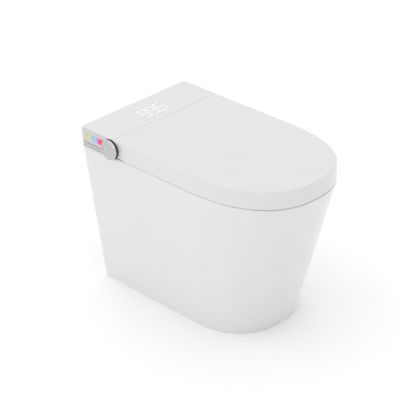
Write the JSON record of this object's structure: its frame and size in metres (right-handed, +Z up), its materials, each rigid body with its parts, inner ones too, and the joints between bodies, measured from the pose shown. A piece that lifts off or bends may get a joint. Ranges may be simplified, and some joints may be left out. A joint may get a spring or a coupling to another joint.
{
  "type": "smart toilet",
  "caption": "Floor-standing tankless smart toilet with skirted ceramic bowl, flat lid, heated seat, and a rear housing with wash nozzles, warm-air dryer, readout, side control panel and knob.",
  "frame": {"origin": "centre of the drain outlet at floor level", "axes": "+Z up, -Y to the front tip of the bowl, +Y to the wall, -X to the side with the control panel and knob"},
  "size_m": [0.3965, 0.69, 0.4854],
  "materials": {
    "black_plastic": "matte",
    "board": "satin",
    "brass": "satin",
    "carbon": "matte",
    "ceramic": "gloss",
    "chrome": "polished",
    "grey_plastic": "matte",
    "keys": "gloss",
    "lens": "gloss",
    "rubber": "matte",
    "silver": "satin",
    "steel": "brushed",
    "white_gloss": "gloss",
    "white_matte": "matte"
  },
  "bodies": {
    "toilet": {"carbon_filter": "carbon", "ceramic_back": "ceramic", "ceramic_bowl": "ceramic", "ceramic_deck": "ceramic", "ceramic_front": "ceramic", "ceramic_sides": "ceramic", "ceramic_trapway": "ceramic", "control_board": "board", "control_module": "white_matte", "deodoriser_housing": "white_matte", "deodoriser_motor": "black_plastic", "display_lens": "lens", "dryer_heater": "steel", "dryer_housing": "white_matte", "dryer_motor": "black_plastic", "fill_valve": "grey_plastic", "floor_brackets": "steel", "flush_pipe": "grey_plastic", "flush_pump": "grey_plastic", "flush_tank": "white_matte", "housing_base": "white_matte", "housing_bolts": "steel", "housing_nuts": "steel", "inlet_valve": "white_matte", "instant_heater": "steel", "knob_base": "grey_plastic", "knob_bezel": "chrome", "lid_hinge_drive": "black_plastic", "nozzle_guide": "white_matte", "outlet_seal": "rubber", "power_gland": "grey_plastic", "power_module": "grey_plastic", "readout_module": "black_plastic", "seat_hinge_drive": "black_plastic", "side_panel": "silver", "tank_cover": "white_matte", "top_cover": "white_gloss", "wash_pump": "black_plastic", "wash_unit_cover": "white_gloss", "water_inlet": "brass"},
    "lid": {"lid": "white_gloss", "lid_bumpers": "rubber", "lid_shaft": "steel"},
    "seat": {"seat_top_shell": "white_gloss", "seat_base_shell": "white_gloss", "seat_heater_foil": "brass", "seat_bumpers": "rubber", "seat_shaft": "steel"},
    "rear_nozzle": {"rear_nozzle": "steel"},
    "front_nozzle": {"front_nozzle": "steel"},
    "dryer_flap": {"dryer_flap": "white_matte"},
    "dryer_impeller": {"dryer_impeller": "grey_plastic"},
    "deodoriser_impeller": {"deodoriser_impeller": "grey_plastic"},
    "knob_carrier": {"knob_carrier": "grey_plastic"},
    "knob": {"knob_cap": "silver"},
    "panel_key_1": {"panel_key_1": "keys"},
    "panel_key_2": {"panel_key_2": "keys"},
    "panel_key_3": {"panel_key_3": "keys"},
    "panel_key_4": {"panel_key_4": "keys"}
  },
  "joints": [
    {"name": "lid_hinge", "type": "hinge", "parent": "toilet", "child": "lid", "pos_m": [0, 0.149, 0.466], "axis": [-1, 0, 0], "range_deg": [0, 100]},
    {"name": "seat_hinge", "type": "hinge", "parent": "toilet", "child": "seat", "pos_m": [0, 0.149, 0.466], "axis": [-1, 0, 0], "range_deg": [0, 92]},
    {"name": "rear_nozzle_slide", "type": "slide", "parent": "toilet", "child": "rear_nozzle", "axis": [0, -0.891, -0.454], "range_m": [0, 0.08]},
    {"name": "front_nozzle_slide", "type": "slide", "parent": "toilet", "child": "front_nozzle", "axis": [0, -0.891, -0.454], "range_m": [0, 0.092]},
    {"name": "dryer_flap_hinge", "type": "hinge", "parent": "toilet", "child": "dryer_flap", "pos_m": [0.046, 0.03616, 0.41191], "axis": [-1, 0, 0], "range_deg": [0, 70]},
    {"name": "dryer_fan_spin", "type": "hinge", "parent": "toilet", "child": "dryer_impeller", "pos_m": [0.046, 0.09629, 0.44412], "axis": [1, 0, 0], "continuous": true},
    {"name": "deodoriser_fan_spin", "type": "hinge", "parent": "toilet", "child": "deodoriser_impeller", "pos_m": [-0.046, 0.09629, 0.44412], "axis": [-1, 0, 0], "continuous": true},
    {"name": "knob_press", "type": "slide", "parent": "toilet", "child": "knob_carrier", "axis": [1, 0, 0], "range_m": [0, 0.0015], "stiffness_N_per_m": 1500, "springref_m": -0.001},
    {"name": "knob_turn", "type": "hinge", "parent": "knob_carrier", "child": "knob", "pos_m": [-0.198, 0.172, 0.4576], "axis": [-1, 0, 0], "continuous": true},
    {"name": "key_1_press", "type": "slide", "parent": "toilet", "child": "panel_key_1", "axis": [1, 0, 0], "range_m": [0, 0.0008], "stiffness_N_per_m": 900, "springref_m": -0.0008},
    {"name": "key_2_press", "type": "slide", "parent": "toilet", "child": "panel_key_2", "axis": [1, 0, 0], "range_m": [0, 0.0008], "stiffness_N_per_m": 900, "springref_m": -0.0008},
    {"name": "key_3_press", "type": "slide", "parent": "toilet", "child": "panel_key_3", "axis": [1, 0, 0], "range_m": [0, 0.0008], "stiffness_N_per_m": 900, "springref_m": -0.0008},
    {"name": "key_4_press", "type": "slide", "parent": "toilet", "child": "panel_key_4", "axis": [1, 0, 0], "range_m": [0, 0.0008], "stiffness_N_per_m": 900, "springref_m": -0.0008}
  ],
  "couplings": [
    {"joint": "seat_hinge", "follows": "lid_hinge", "ratio": 0.92}
  ]
}
